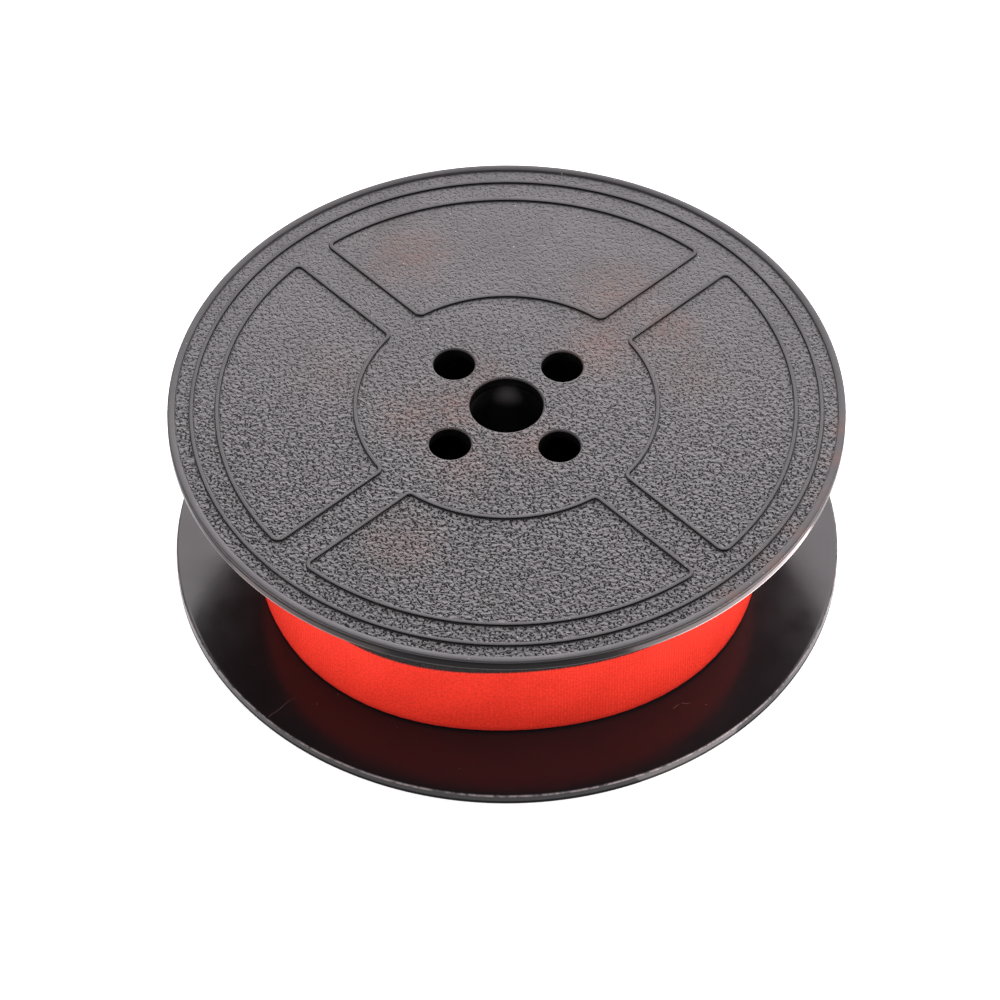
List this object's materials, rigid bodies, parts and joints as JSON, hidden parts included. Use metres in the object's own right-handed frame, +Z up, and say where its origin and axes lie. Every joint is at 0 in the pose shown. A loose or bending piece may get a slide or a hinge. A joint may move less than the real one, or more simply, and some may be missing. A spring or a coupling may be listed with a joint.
{
  "type": "typewriter ribbon spool",
  "caption": "Round spool with two flanges on a hollow drum, a spindle bore with drive holes, and a wound black and red inked ribbon.",
  "frame": {"origin": "centre of the resting face, at the bottom of the lower flange, on the spindle axis", "axes": "+Z up along the spindle axis; -Y is the side the picture looks from; +Y is the side where the ribbon's loose end lies"},
  "size_m": [0.054, 0.054, 0.0172],
  "materials": {
    "grained_plastic": "black moulded plastic, coarse grain on the outer face between smooth raised lines, smooth and glossy on the inner face",
    "gloss_plastic": "smooth black moulded plastic",
    "black_ribbon": "black inked woven nylon",
    "red_ribbon": "red inked woven nylon",
    "eyelet_brass": "pressed brass, slightly dull",
    "hook_steel": "folded tinned sheet"
  },
  "bodies": {
    "root": {"upper_flange": "grained_plastic", "lower_flange": "grained_plastic", "hub_drum": "gloss_plastic", "spindle_bush": "gloss_plastic", "ribbon_anchor_peg": "gloss_plastic", "ribbon_black_half": "black_ribbon", "ribbon_red_half": "red_ribbon", "reversing_eyelet": "eyelet_brass", "ribbon_end_hook": "hook_steel"}
  },
  "joints": []
}
